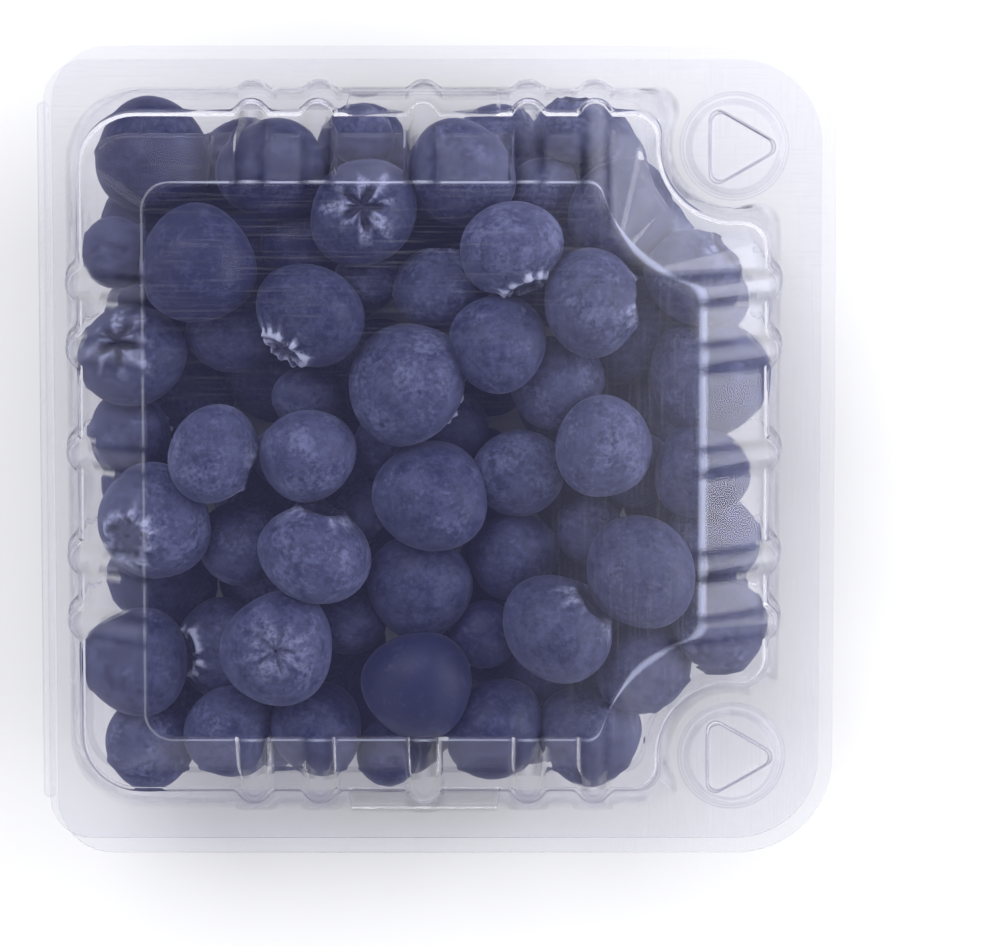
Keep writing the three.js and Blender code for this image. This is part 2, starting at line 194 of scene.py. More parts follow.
def thermoformedPet(values):
    # Clear PET sheet, pressed hot over a mould: glassy, with thin bright lines at its bends that
    # are whitening with a painted highlight, painted shade along them, painted glare towards the
    # buttons, a faint lavender cast where two layers lie together, and light scuffs from packing
    material, add = newMaterial("thermoformedPet")
    place = add("ShaderNodeTexCoord")["Object"]
    thin = 1 / (values["scuffWidth"] * mm)
    long = 1 / (values["scuffLength"] * mm)
    least, most = values["scuffShown"]
    east, north, _ = add("ShaderNodeSeparateXYZ", {"Vector": place})
    rubs = []
    for along, (start, full), stretch in ((north, values["northScuffs"], (long, thin, 0)),
                                          (east, values["eastScuffs"], (thin, long, 0))):
        stretched = add("ShaderNodeVectorMath", {0: place, 1: stretch}, operation="MULTIPLY")
        streaks = add("ShaderNodeTexNoise",
                      {"Vector": stretched, "Scale": 1.0, "Detail": 4.0, "Roughness": 0.65})
        shown = add("ShaderNodeMapRange",
                    {"Value": streaks["Fac"], "From Min": least, "From Max": most})
        grown = add("ShaderNodeMapRange",
                    {"Value": along, "From Min": start * mm, "From Max": full * mm})
        rubs.append(add("ShaderNodeMath", {0: shown, 1: grown}, operation="MULTIPLY"))
    scuffs = add("ShaderNodeMath", {0: rubs[0], 1: rubs[1]}, operation="MAXIMUM")
    bend, crease, faint = (add("ShaderNodeAttribute", attribute_name=name)["Fac"]
                           for name in ("bend", "crease", "faint"))
    clear = add("ShaderNodeMapRange",
                {"Value": scuffs, "To Min": 1 - values["haze"], "To Max": 1 - values["scuffHaze"]})
    # Painted glare: the sheet scatters more light towards the buttons
    eastGlare = add("ShaderNodeMapRange",
               {"Value": east, "From Min": values["eastHazeFrom"] * mm,
                "From Max": values["eastHazeTo"] * mm, "To Max": values["eastHaze"]})
    for lost in (eastGlare, bend):
        clear = add("ShaderNodeMath", {0: clear, 1: lost}, operation="SUBTRACT", use_clamp=True)
    rough = add("ShaderNodeMapRange",
                {"Value": scuffs, "To Min": values["roughness"],
                 "To Max": values["scuffRoughness"]})
    caught = add("ShaderNodeMath", {0: bend, 1: values["caught"]}, operation="MULTIPLY",
                 use_clamp=True)
    # The bends' tint: painted shade along their lines, then their whitening and painted highlight
    tint = values["tint"]
    for share, color in ((crease, values["crease"]), (caught, values["rim"])):
        tint = add("ShaderNodeMix", {0: share, 6: tint, 7: color}, data_type="RGBA")[2]
    sheet = add("ShaderNodeBsdfPrincipled",
                {"Base Color": tint, "IOR": values["refraction"], "Roughness": rough,
                 "Transmission Weight": clear, "Coat Weight": values["coat"],
                 "Coat IOR": values["gloss"], "Coat Roughness": values["roughness"],
                 "Sheen Weight": values["veilWeight"],
                 "Sheen Roughness": values["veilRoughness"], "Sheen Tint": values["veil"]})
    # Light from the lamps passes straight on to the fruit, dimmed most where the sheet is flat
    facing = add("ShaderNodeLayerWeight", {"Blend": values["steepBlend"]})["Facing"]
    passed = add("ShaderNodeMapRange",
                 {"Value": facing, "To Min": values["shadowFlat"], "To Max": values["shadowSteep"]})
    through = add("ShaderNodeBsdfTransparent", {"Color": passed})
    path = add("ShaderNodeLightPath")
    trapped = add("ShaderNodeMath", {0: path["Ray Depth"], 1: values["guideDepth"] + 0.5},
                  operation="GREATER_THAN")
    straight = path["Is Shadow Ray"]
    for other in (path["Is Diffuse Ray"], trapped, faint):
        straight = add("ShaderNodeMath", {0: straight, 1: other}, operation="MAXIMUM")
    mixed = add("ShaderNodeMixShader", {0: straight, 1: sheet, 2: through})
    add("ShaderNodeOutputMaterial", {"Surface": mixed})
    return material


bloomSkin = {
    "skin": "#16193e",
    "bloom": "#414466",
    "thickBloom": "#696d92",
    "halo": "#8488a8",  # thick wax round the crown
    "frill": "#a9adca",  # dry pale edge of a wide crown
    "pit": "#1a1b36",
    "tip": "#262338",  # the crown's dried points
    "cover": -1.42,  # how much of the skin the bloom hides
    "coverWeights": (2.1, 1.5, 0.5, 0.35),  # of patches, speckles, grain and tone in it
    "thickCover": -2.0,
    "thickWeights": (2.3, 1.5, 0.44),  # of clouds, speckles and tone
    "cloud": 5.0,
    "patch": 2.4,
    "speckle": 0.75,
    "grain": 0.3,
    "barkRoughness": 0.52,
    "bloomRoughness": 0.72,
    "bumpDepth": 0.12,
    "sheen": "#c4caea",
}


def blueberrySkin(values):
    # Ripe blueberry: dark indigo skin under a dusty wax bloom, rubbed thin in patches and thick
    # and pale round the crown, with dry brown points and a nearly black pit
    material, add = newMaterial("blueberrySkin")
    place = add("ShaderNodeTexCoord")["Object"]
    clouds, patches, speckles, grain = (
        add("ShaderNodeTexNoise",
            {"Vector": place, "Scale": 1 / (values[size] * mm), "Detail": detail,
             "Roughness": 0.6})["Fac"]
        for size, detail in (("cloud", 3.0), ("patch", 4.0), ("speckle", 3.0), ("grain", 2.0)))
    # The tone holds each berry's random tone together with its painted shade and painted light
    tone, crown, pit, tip = (add("ShaderNodeAttribute", attribute_name=name)["Fac"]
                             for name in ("tone", "crown", "pit", "tip"))
    covers = []
    for total, layers, weights in (
            (values["cover"], (patches, speckles, grain, tone), values["coverWeights"]),
            (values["thickCover"], (clouds, speckles, tone), values["thickWeights"])):
        for layer, weight in zip(layers, weights):
            total = add("ShaderNodeMath", {0: layer, 1: weight, 2: total},
                        operation="MULTIPLY_ADD")
        covers.append(add("ShaderNodeClamp", {"Value": total}))
    cover, thick = covers
    dusted = add("ShaderNodeMapRange",
                 {"Value": speckles, "From Min": 0.38, "From Max": 0.6, "To Min": 0.25})
    halo = add("ShaderNodeMath", {0: crown, 1: dusted}, operation="MULTIPLY", use_clamp=True)
    frill = add("ShaderNodeMapRange", {"Value": crown, "From Min": 1.0, "From Max": 2.0})
    color = values["skin"]
    for share, layer in ((cover, "bloom"), (thick, "thickBloom"), (halo, "halo"),
                         (frill, "frill"), (tip, "tip"), (pit, "pit")):
        color = add("ShaderNodeMix", {0: share, 6: color, 7: values[layer]}, data_type="RGBA")[2]
    rough = add("ShaderNodeMapRange",
                {"Value": cover, "To Min": values["barkRoughness"],
                 "To Max": values["bloomRoughness"]})
    height = add("ShaderNodeMath", {0: speckles, 1: 0.6, 2: grain}, operation="MULTIPLY_ADD")
    bump = add("ShaderNodeBump",
               {"Height": height, "Strength": 0.25, "Distance": values["bumpDepth"] * mm})
    skin = add("ShaderNodeBsdfPrincipled",
               {"Base Color": color, "Roughness": rough, "IOR": 1.45,
                "Specular IOR Level": 0.25, "Normal": bump, "Sheen Weight": 0.1,
                "Sheen Roughness": 0.45, "Sheen Tint": values["sheen"]})
    add("ShaderNodeOutputMaterial", {"Surface": skin})
    return material


def packedFruit():
    # Fruit deep in the pack: dark bloomed skin in full shade, with no light of its own
    material, add = newMaterial("shadedFruit")
    place = add("ShaderNodeTexCoord")["Object"]
    clouds = add("ShaderNodeTexNoise",
                 {"Vector": place, "Scale": 1 / (bloomSkin["patch"] * mm), "Detail": 3.0})
    color = add("ShaderNodeMix", {0: clouds["Fac"], 6: "#23265a", 7: "#454b8c"},
                data_type="RGBA")[2]
    skin = add("ShaderNodeBsdfPrincipled", {"Base Color": color, "Roughness": 0.8})
    add("ShaderNodeOutputMaterial", {"Surface": skin})
    return material


def floorPaper():
    # Seamless white studio paper: matte, with the faintest tooth
    material, add = newMaterial("studioPaper")
    place = add("ShaderNodeTexCoord")["Object"]
    tooth = add("ShaderNodeTexNoise", {"Vector": place, "Scale": 1 / (0.8 * mm)})
    bump = add("ShaderNodeBump", {"Height": tooth["Fac"], "Strength": 0.05, "Distance": 0.05 * mm})
    paper = add("ShaderNodeBsdfPrincipled",
                {"Base Color": "#f4f4f6", "Roughness": 0.9, "Normal": bump})
    add("ShaderNodeOutputMaterial", {"Surface": paper})
    return material


clearPet = thermoformedPet(petSheet)
fruitSkin = blueberrySkin(bloomSkin)
darkFruit = packedFruit()
print("materials made")


# The clear pack. Both halves are one pressed sheet each: loops of points run round the pack, and
# neighbouring loops are joined. A loop has a row for each point: x, y, z, the push of its ribs in
# x and y, and then these columns, each with its unit.
sheetColumns = {
    "ribWidth": mm,
    "ribAlong": mm,  # the place along the side
    "bend": 1,  # how much of the light a bend scatters: whitening, painted highlight and painted glare
    # how much painted shade a bend's line has
    "crease": 1,
    "faint": 1,  # how little of the sheet shows
    "ribClear": 1,  # how clear the flanks of a rib are
}
bendAt, creaseAt, faintAt, clearAt = 7, 8, 9, 10
farAlong = 1000.0  # out of the reach of every rib
lidLow, lidHigh = (np.array(corner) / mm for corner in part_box("lid"))
tubLow, _ = (np.array(corner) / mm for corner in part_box("tub"))

pack = {
    "sheet": 0.5,
    "beadRadius": 0.9,
    "beadLength": 101.0,
    "clearance": 0.3,
    "hingeCorner": 8.0,
    "buttonCorner": 14.0,
    "bodyWest": -51.5,
    "bodyEast": 47.6,
    "bodyHalf": 49.4,
    "bodyCorner": 8.5,
    "smallestCorner": 4.0,
    "notchRadius": 10.4,
    "notchFillet": 3.3,
    "ribPlaces": (0.0, 15.0, 24.5),  # from the middle of a side, both ways
    "ribWidth": 5.4,
    "innerRibWidth": 4.5,
    "ribReach": 1.8,
    "ribStep": 0.55,  # between the points that draw a rib
    "ribFullness": 2.4,  # 2 is a plain arch, and more is a fuller one
    "cornerSteps": 36,
    "sharpFrom": 38,  # degrees between two faces
    "button": (42.4, 44.2),
}
pack["bodyMiddle"] = (pack["bodyWest"] + pack["bodyEast"]) / 2
ribEnd = pack["ribPlaces"][-1] + pack["ribWidth"] / 2
ribFree = pack["ribPlaces"][-2] + pack["ribWidth"] / 2
lidFlange = lidLow[2] + pack["sheet"]
hingeX = tubLow[0] + pack["beadRadius"]


def arcPoints(centre, radius, start, end, steps):
    angles = np.linspace(start, end, steps + 1)
    return np.column_stack((centre[0] + radius * np.cos(angles),
                            centre[1] + radius * np.sin(angles)))


def buttonCornerPoints(east, half, notch, fillet, corner):  # from the east side to the north one
    if notch is None:
        return arcPoints((east - corner, half - corner), corner, 0, math.pi / 2, 30)
    bx, by = pack["button"]
    reach = notch + fillet
    eastX, northY = east - fillet, half - fillet
    eastY = by - math.sqrt(reach ** 2 - (eastX - bx) ** 2)
    northX = bx - math.sqrt(reach ** 2 - (northY - by) ** 2)
    eastTurn = math.atan2(by - eastY, bx - eastX)
    northTurn = math.atan2(by - northY, bx - northX)
    hollow = arcPoints((bx, by), notch, eastTurn + math.pi, northTurn + math.pi, 24)
    return np.vstack((arcPoints((eastX, eastY), fillet, 0, eastTurn, 10), hollow[1:-1],
                      arcPoints((northX, northY), fillet, northTurn, math.pi / 2, 10)))


def ribSide(end=None):  # places along half a side, past its ribs and on to its plain corner
    along = np.arange(pack["ribStep"], ribEnd + pack["ribStep"], pack["ribStep"])
    return along if end is None else np.append(along, np.linspace(along[-1], end, 4)[1:-1])


def ribbedCorner(bend, east, half):
    # Where the east and the north side run at each step of their ribs, and the points between
    middle = pack["bodyMiddle"]
    path = np.vstack(((east, ribFree), bend, (middle + ribFree, half)))
    length = np.append(0.0, np.linalg.norm(np.diff(path, axis=0), axis=1).cumsum())
    xs, ys = path.T
    along = ribSide()
    eastX = np.interp(along, ys, xs)
    northY = np.interp(middle + along, xs[::-1], ys[::-1])
    first = np.interp(along[-1], ys, length)
    last = np.interp(middle + along[-1], xs[::-1], length[::-1])
    between = np.linspace(first, last, pack["cornerSteps"] + 2)[1:-1]
    corner = np.column_stack((np.interp(between, length, xs), np.interp(between, length, ys)))
    return eastX, northY, corner


def loopRows(points, z, along=farAlong, pushX=0.0, pushY=0.0, width=1.0):
    rows = np.zeros((len(points), 5 + len(sheetColumns)))
    rows[:, :2] = points
    rows[:, 2:6] = z, pushX, pushY, width
    rows[:, 6] = along
    return rows


def outline(west, east, half, corner, z, notch=None, fillet=0.0, eastCorner=0.0,
            ribX=0.0, ribY=0.0, width=1.0):
    middle = pack["bodyMiddle"]
    bend = buttonCornerPoints(east, half, notch, fillet, eastCorner)
    eastX, northY, northEast = ribbedCorner(bend, east, half)
    northWest = arcPoints((west + corner, half - corner), corner, math.pi / 2, math.pi, 10)
    mirror = (1, -1)
    along = ribSide()
    back, side = ribSide(middle - west - corner), ribSide(half - corner)
    endAlong = np.r_[back[::-1], 0.0, along]
    endLine = np.column_stack((middle + np.r_[-back[::-1], 0.0, along],
                               np.r_[np.full(len(back) + 1, half), northY]))
    eastAlong = np.r_[along[::-1], 0.0, along]
    eastLine = np.column_stack((np.r_[eastX[::-1], east, eastX],
                                np.r_[-along[::-1], 0.0, along]))
    westAlong = np.r_[side[::-1], 0.0, side]
    westLine = np.column_stack((np.full(len(westAlong), west), np.r_[side[::-1], 0.0, -side]))
    return np.vstack([loopRows(points, z, *ribs, width=width) for points, *ribs in (
        (endLine * mirror, endAlong, 0, -ribY), ((northEast * mirror)[::-1],),
        (eastLine, eastAlong, ribX, 0), (northEast,),
        (endLine[::-1], endAlong[::-1], 0, ribY), (northWest,),
        (westLine, westAlong, -ribX, 0), ((northWest * mirror)[::-1],))])


def flangeOutline(inset, west, z):
    return outline(west, lidHigh[0] - inset, lidHigh[1] - inset, pack["hingeCorner"] - inset, z,
                   eastCorner=pack["buttonCorner"] - inset)


def bodyOutline(insets, z, fillet=None, ribX=0.0, ribY=0.0, width=1.0):
    inX, inY, inNotch = np.broadcast_to(insets, 3)
    return outline(pack["bodyWest"] + inX, pack["bodyEast"] - inX, pack["bodyHalf"] - inY,
                   max(pack["bodyCorner"] - (inX + inY) / 2, pack["smallestCorner"]), z,
                   notch=pack["notchRadius"] + inNotch, fillet=fillet or pack["notchFillet"],
                   ribX=ribX, ribY=ribY, width=width)


def roundProfile(loops, bends, steps=4):  # bends: a radius, or with its whitening and painted highlight, and its painted shade
    mostReach = 0.46  # of the way to the next loop
    made = [loops[0]]
    for before, bend, after, size in zip(loops, loops[1:], loops[2:], bends[1:]):
        radius, whiteningAndHighlight, crease = size if isinstance(size, tuple) else (size, 0.0, 0.0)
        if np.max(radius) == 0:
            made.append(bend)
            continue
        ends = []
        for other in (before, after):
            reach = np.linalg.norm((other - bend)[:, :3], axis=1, keepdims=True)
            ends.append(bend + (other - bend) * np.minimum(np.reshape(radius, (-1, 1)) / reach,
                                                           mostReach))
        for t in np.linspace(0, 1, steps + 1):
            rows = (1 - t) ** 2 * ends[0] + 2 * t * (1 - t) * bend + t ** 2 * ends[1]
            # Each bend's middle gets the most whitening and painted highlight, and the most painted
            # shade
            rows[:, bendAt] += whiteningAndHighlight * 4 * t * (1 - t)
            rows[:, creaseAt] = crease * 4 * t * (1 - t)
            made.append(rows)
    return made + [loops[-1]]


def ring(centre, radius, z, count=72):
    return loopRows(arcPoints(centre, radius, 0, 2 * math.pi, count)[:-1], z)


def roundedTriangle(centre, reach, roundness, z, count=72):  # one tip points to +X
    angles = np.linspace(0, 2 * math.pi, count, endpoint=False)
    turn = (angles + math.pi / 3) % (2 * math.pi / 3) - math.pi / 3
    inner = reach - roundness
    flat = (inner / 2 + roundness) / np.cos(np.abs(turn) - math.pi / 3)
    # a ray from the middle meets either the straight edge or the tip's arc
    tip = inner * np.cos(turn) + np.sqrt(roundness ** 2 - (inner * np.sin(turn)).clip(
        -roundness, roundness) ** 2)
    onTip = np.abs(turn) < math.atan2(roundness * math.sin(math.pi / 3),
                                      inner + roundness * math.cos(math.pi / 3))
    distance = np.where(onTip, tip, flat)
    return loopRows(np.column_stack((centre[0] + distance * np.cos(angles),
                                     centre[1] + distance * np.sin(angles))), z)


class SheetMesh:  # gathers the points and faces of one pressed sheet
    def __init__(self):
        self.mesh = bmesh.new()
        layers = self.mesh.verts.layers
        self.push = layers.float_vector.new("ribPush")
        self.columns = [(layers.float.new(name), unit) for name, unit in sheetColumns.items()]

    def addLoop(self, rows):
        made = []
        for row in rows:
            vert = self.mesh.verts.new(row[:3] * mm)
            if len(row) > 3:
                vert[self.push] = (row[3] * mm, row[4] * mm, 0.0)
                for (layer, unit), value in zip(self.columns, row[5:]):
                    vert[layer] = value * unit
            made.append(vert)
        return made

    def join(self, first, second):
        count = len(first)
        for i in range(count):
            j = (i + 1) % count
            self.mesh.faces.new((first[i], first[j], second[j], second[i]))

    def loft(self, loops):  # joins the loops in turn, and gives the first and the last
        made = [self.addLoop(rows) for rows in loops]
        for first, second in zip(made, made[1:]):
            self.join(first, second)
        return made[0], made[-1]

    def fill(self, *borders):  # a flat face with holes
        edges = []
        for border in borders:
            for first, second in zip(border, border[1:] + border[:1]):
                edges.append(self.mesh.edges.get((first, second)) or
                             self.mesh.edges.new((first, second)))
        bmesh.ops.triangle_fill(self.mesh, use_beauty=True, edges=edges)

    def finish(self, name):
        bmesh.ops.recalc_face_normals(self.mesh, faces=self.mesh.faces)
        mesh = bpy.data.meshes.new(name)
        self.mesh.to_mesh(mesh)
        self.mesh.free()
        return newObject(name, mesh)


ribNames = ("Middle Rib", "Inner Ribs", "Outer Ribs")


def ribTree():  # pushes out the points near each rib's place
    tree, add, source = groupTree("ribFlutes", [(name, "Float")
                                                for name in (*ribNames, "Fullness")])
    along, width, clear, faint = (
        add("GeometryNodeInputNamedAttribute", {"Name": name})
        for name in ("ribAlong", "ribWidth", "ribClear", "faint"))
    push = add("GeometryNodeInputNamedAttribute", {"Name": "ribPush"}, data_type="FLOAT_VECTOR")
    rise = 0.0
    for name in ribNames:
        rib = along
        for step, other in (("SUBTRACT", source[name]), ("ABSOLUTE", 0.0), ("DIVIDE", width),
                            ("MULTIPLY", 2.0), ("POWER", source["Fullness"])):
            rib = add("ShaderNodeMath", {0: rib, 1: other}, operation=step)
        rib = add("ShaderNodeMath", {0: 1.0, 1: rib}, operation="SUBTRACT", use_clamp=True)
        rise = add("ShaderNodeMath", {0: rib, 1: rise}, operation="MAXIMUM")
    offset = add("ShaderNodeVectorMath", {0: push, "Scale": rise}, operation="SCALE")
    moved = add("GeometryNodeSetPosition", {"Geometry": source["Geometry"], "Offset": offset})
    # A rib's flanks lean out of the glare, so the fruit shows clear and dark through them
    fall = add("ShaderNodeMath", {0: 1.0, 1: rise}, operation="SUBTRACT")
    flank = add("ShaderNodeMath", {0: fall, 1: rise}, operation="MULTIPLY")
    shown = add("ShaderNodeMath", {0: flank, 1: clear, 2: faint},
                operation="MULTIPLY_ADD", use_clamp=True)
    cleared = add("GeometryNodeStoreNamedAttribute",
                  {"Geometry": moved, "Name": "faint", "Value": shown})
    endTree(add, source, cleared)
    return tree


ribFlutes = ribTree()


def dropRibLayers(mesh):
    for name in ("ribPush", "ribAlong", "ribWidth", "ribClear"):
        mesh.attributes.remove(mesh.attributes[name])


def finishSheet(subject, body, node):
    places = {name: place * mm for name, place in zip(ribNames, pack["ribPlaces"])}
    subject.data = applyNodes(subject, ribFlutes, {**places, "Fullness": pack["ribFullness"],
                                                   "Material": clearPet})
    dropRibLayers(subject.data)
    subject.data.shade_smooth()
    subject.data.set_sharp_from_angle(angle=math.radians(pack["sharpFrom"]))
    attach(subject, body)
    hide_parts(node)


lidShape = {
    "ledgeRise": 2.0,
    # the foot's loops: inset, how much less far the air bay comes out, and its rise
    "footSteps": ((-0.8, 0.0, 0.0), (-0.5, 0.1, 0.0), (-0.35, 0.5, 0.9)),
    # how much painted shade lies along the line of each bend
    "footCrease": 0.3,
    "stepCrease": 0.4,
    "ledgeCrease": 0.15,
    "buttonCrease": 0.45,
    "triangleCrease": 1.0,
    "stepDraft": 0.3,
    "sideLedge": 1.1,
    "endLedge": 3.3,
    "notchLedge": 2.2,
    "panelInset": 9.8,
    "panelEndInset": 9.3,
    "panelFillet": 2.2,
    "ribDraft": 0.6,
    "bayLength": 21.5,  # the air bay at the middle of both ends
    "bayReach": 2.8,
    "bayRise": 0.9,
    "bayFade": 0.6,  # how long the ends of the bay are
    "bayFaint": 0.6,
    # the painted shade along the edge of the air bay
    "bayCrease": 2.0,
    "notchGlare": 0.045,  # painted glare on the slope by the +X +Y button, which faces the brightest softbox
    "glareFade": ((19, 25), (14, 20)),  # it grows between these, in x and in y
    "eastFade": (24, 32),  # the lid's +X part begins between these
    "endFade": (20, 35),
    "westFade": (34, 40),
    "footRound": 0.35,
    "stepRound": 0.5,
    "ledgeRound": 0.35,
    "panelRound": 0.3,
    "panelEastRound": 0.8,  # more than that along +X, where the panel's edge is softest
    "innerRound": 0.4,  # the lower face turns round the same middles
    # the painted highlight along the panel's edge, and how much of it is lost towards -X
    "panelShine": 0.32,
    "westShineLost": 0.17,
    "panelLap": 1.6,  # the panel's flat part starts this far in
    "ribClear": 3.6,  # how clear a rib's flanks are on the slope
    "brightSides": 0.65,  # how much paler the bends' lines are along +X and +Y: less painted shade there
    "darkSide": 1.7,  # and how much darker along -Y: more painted shade
    "buttonRadius": 7.7,
    "buttonDraft": 0.9,
    "buttonRise": 1.6,
    "triangleReach": 5.3,
    "triangleRound": 1.3,
    "triangleDepth": 0.8,
    "triangleDraft": 0.35,
    "triangleFloor": 1.2,
}


def bayShare(rows):
    apart = np.abs(rows[:, 0] - pack["bodyMiddle"])
    inBay = smoothStep(-0.5, 0.5, (lidShape["bayLength"] / 2 - apart) / lidShape["bayFade"])
    return inBay * (np.abs(rows[:, 1]) > pack["bodyHalf"] - 1)


def bayed(rows, reach, rise):  # an end's middle stretch moved out and up for the air bay
    rows = rows.copy()
    inBay = bayShare(rows)
    rows[:, 1] += np.sign(rows[:, 1]) * reach * inBay
    rows[:, 2] += rise * inBay
    rows[:, faintAt] = lidShape["bayFaint"] * inBay
    return rows


def lidFace(down, width):
    v = lidShape
    reach = pack["ribReach"]
    z = lidFlange - down

    def body(insets, rise, ribX=0.0, ribY=0.0, fillet=None):
        return bodyOutline(np.add(insets, down), z + rise, fillet, ribX, ribY, width)

    ledge = np.array((v["sideLedge"], v["endLedge"], v["notchLedge"]))
    panel = np.array((v["panelInset"], v["panelEndInset"], v["panelEndInset"]))
    panelRise = lidHigh[2] - lidFlange
    loops = [bayed(body(inset, 0.0), v["bayReach"] - less, rise)
             for inset, less, rise in v["footSteps"]]
    loops += [
        bayed(body(0.0, 0.0, reach, reach), 0.0, v["bayRise"]),
        body(v["stepDraft"], v["ledgeRise"], reach, reach),
        body(ledge, v["ledgeRise"], *(ledge[:2] + reach - v["ribDraft"])),
        body(panel, panelRise, fillet=v["panelFillet"]),
        body(panel + v["panelLap"], panelRise, fillet=v["panelFillet"]),
    ]
    loops[4][:, clearAt] = v["ribClear"] / 2
    # Painted glare on the slope by the +X +Y button
    glareX, glareY = v["glareFade"]
    for rows in loops[5:7]:
        rows[:, clearAt] = v["ribClear"]
        rows[:, bendAt] = (v["notchGlare"] * smoothStep(*glareX, rows[:, 0])
                           * smoothStep(*glareY, rows[:, 1]))
    # Painted light along the bends' lines: less painted shade towards +X and +Y, more towards -Y,
    # and a painted highlight at the panel's edge that is weaker towards -X
    x, y = loops[6][:, 0], loops[6][:, 1]
    east = smoothStep(*v["eastFade"], x)
    shade = (1 - v["brightSides"] * np.maximum(east, smoothStep(*v["endFade"], y))
             + v["darkSide"] * smoothStep(*v["endFade"], -y) * (1 - east))
    shine = v["panelShine"] - v["westShineLost"] * smoothStep(*v["westFade"], -x)
    inner = v["innerRound"] if down else 0.0
    rounded = roundProfile(loops, (
        0, 0, (0.2, 0.0, v["bayCrease"] * bayShare(loops[2])),
        (v["footRound"] + inner, 0.0, v["footCrease"] * shade),
        (v["stepRound"] - inner, 0.0, v["stepCrease"] * shade),
        (v["ledgeRound"] + inner, 0.0, v["ledgeCrease"] * shade),
        (v["panelRound"] + v["panelEastRound"] * east - inner / 4, 0.0 if down else shine, 0.0)))
    west = hingeX + pack["beadRadius"] + pack["clearance"]
    return flangeOutline(0.0, west, z), rounded


def buttonLoops(centre, grow, flange, rise, sunk):
    v = lidShape
    low, high = v["buttonRadius"] + grow, v["buttonRadius"] - v["buttonDraft"] + grow
    loops = [ring(centre, low + 0.5, flange), ring(centre, low, flange),
             ring(centre, high, flange + rise)]
    if not sunk:
        loops.append(ring(centre, high - 1.5, flange + rise))
        return roundProfile(loops, (0, 0.35, 0.5), 3)
    loops += [roundedTriangle(centre, v["triangleReach"] - inset - grow,
                              v["triangleRound"] - sharper, flange + rise - depth)
              for inset, sharper, depth in ((0.0, 0.0, 0.0),
                                            (v["triangleDraft"], 0.2, v["triangleDepth"]),
                                            (v["triangleFloor"], 0.2, v["triangleDepth"]))]
    # The button's bends carry painted shade along their lines
    return roundProfile(loops, (0, (0.35, 0.0, v["buttonCrease"]),
                                (0.5, 0.0, v["buttonCrease"]),
                                (0.3, 0.0, v["triangleCrease"]), 0.25), 3)


def beadLoops():  # the rolled bead along the hinge, with round ends
    radius, half = pack["beadRadius"], pack["beadLength"] / 2
    centre = (hingeX, tubShape["flange"] + pack["clearance"] / 2)
    turns = np.linspace(0.06, math.pi / 2, 7)
    ends = [(-half + radius * (1 - math.cos(t)), radius * math.sin(t)) for t in turns]
    ends += [(-y, size) for y, size in ends[::-1]]
    around = np.linspace(0, 2 * math.pi, 24, endpoint=False)
    return [np.column_stack((centre[0] + size * np.cos(around), np.full(24, y),
                             centre[1] + size * np.sin(around))) for y, size in ends]


def pressedSheet(name, faces, buttons, extra=None):  # faces and buttons: upper, then lower
    sheet = SheetMesh()
    if extra:
        for end in sheet.loft(extra):
            sheet.fill(end)
    edges = []
    for (edge, loops), knobs in zip(faces, buttons):
        rim = sheet.addLoop(edge)
        foot, top = sheet.loft(loops)
        sheet.fill(top)
        holes = []
        for knob in knobs:
            hole, crown = sheet.loft(knob)
            sheet.fill(crown)
            holes.append(hole)
        sheet.fill(rim, foot, *holes)
        edges.append(rim)
    sheet.join(edges[0], edges[1])
    return sheet.finish(name)


def makeLid():
    thick = pack["sheet"]
    bx, by = pack["button"]
    faces = (lidFace(0.0, pack["ribWidth"]), lidFace(thick, pack["innerRibWidth"]))
    buttons = [[buttonLoops((bx, side * by), grow, lidFlange + grow, lidShape["buttonRise"], True)
                for side in (-1, 1)] for grow in (0.0, -thick)]
    finishSheet(pressedSheet("petLid", faces, buttons), "lid", "lid")


tubShape = {
    "flangeInset": 2.0,
    "flange": 24.5,
    "mouthOutX": 1.2,
    "mouthOutY": 2.7,
    "lean": 4.0,
    "mouthLap": 1.2,
    "mouthRound": 0.9,
    "mouthRoundInside": 0.5,
    "mouthFaint": (0.95, 0.95, 0.0),
    "shoulder": 17.0,  # where the ribs stand out most
    "foot": 2.5,
    "footRound": 2.0,
    "footLap": 2.5,
    "buttonRise": 0.6,
}


def tubFace(down, width):
    v = tubShape
    reach = pack["ribReach"]
    mouth = np.array((v["mouthOutX"], v["mouthOutY"], v["mouthOutX"]))

    def wall(height, rib, extra=0.0):
        lean = v["lean"] * (1 - height / v["flange"]) + extra - down
        return bodyOutline(lean - mouth, height - down, None, rib, rib, width)

    mouthEdge = wall(v["flange"], 0.0, -v["mouthLap"])
    mouthEdge[:, 2] = v["flange"] - down
    loops = [mouthEdge, wall(v["flange"], 0.0), wall(v["shoulder"], reach),
             wall(v["foot"], reach / 2), wall(pack["sheet"], 0.0, v["footRound"]),
             wall(pack["sheet"], 0.0, v["footRound"] + v["footLap"])]
    for rows, share in zip(loops[:3], v["mouthFaint"]):  # the mouth's bend hardly shows
        rows[:, faintAt] = share
    mouthRound = v["mouthRoundInside"] if down else v["mouthRound"]
    return (flangeOutline(v["flangeInset"], hingeX, v["flange"] - down),
            roundProfile(loops, (0, (mouthRound, 0.0, 0.0), 2.0, 1.6, 1.6)))


def makeTub():
    thick = pack["sheet"]
    bx, by = pack["button"]
    faces = (tubFace(0.0, pack["innerRibWidth"]), tubFace(thick, pack["ribWidth"]))
    nested = thick + pack["clearance"]
    buttons = [[buttonLoops((bx, side * by), grow - nested, tubShape["flange"] + grow,
                            tubShape["buttonRise"], False)
                for side in (-1, 1)] for grow in (0.0, -thick)]
    tub = pressedSheet("petTub", faces, buttons, beadLoops())
    finishSheet(tub, "tub", "tub")


makeLid()
makeTub()
print("pack pressed")


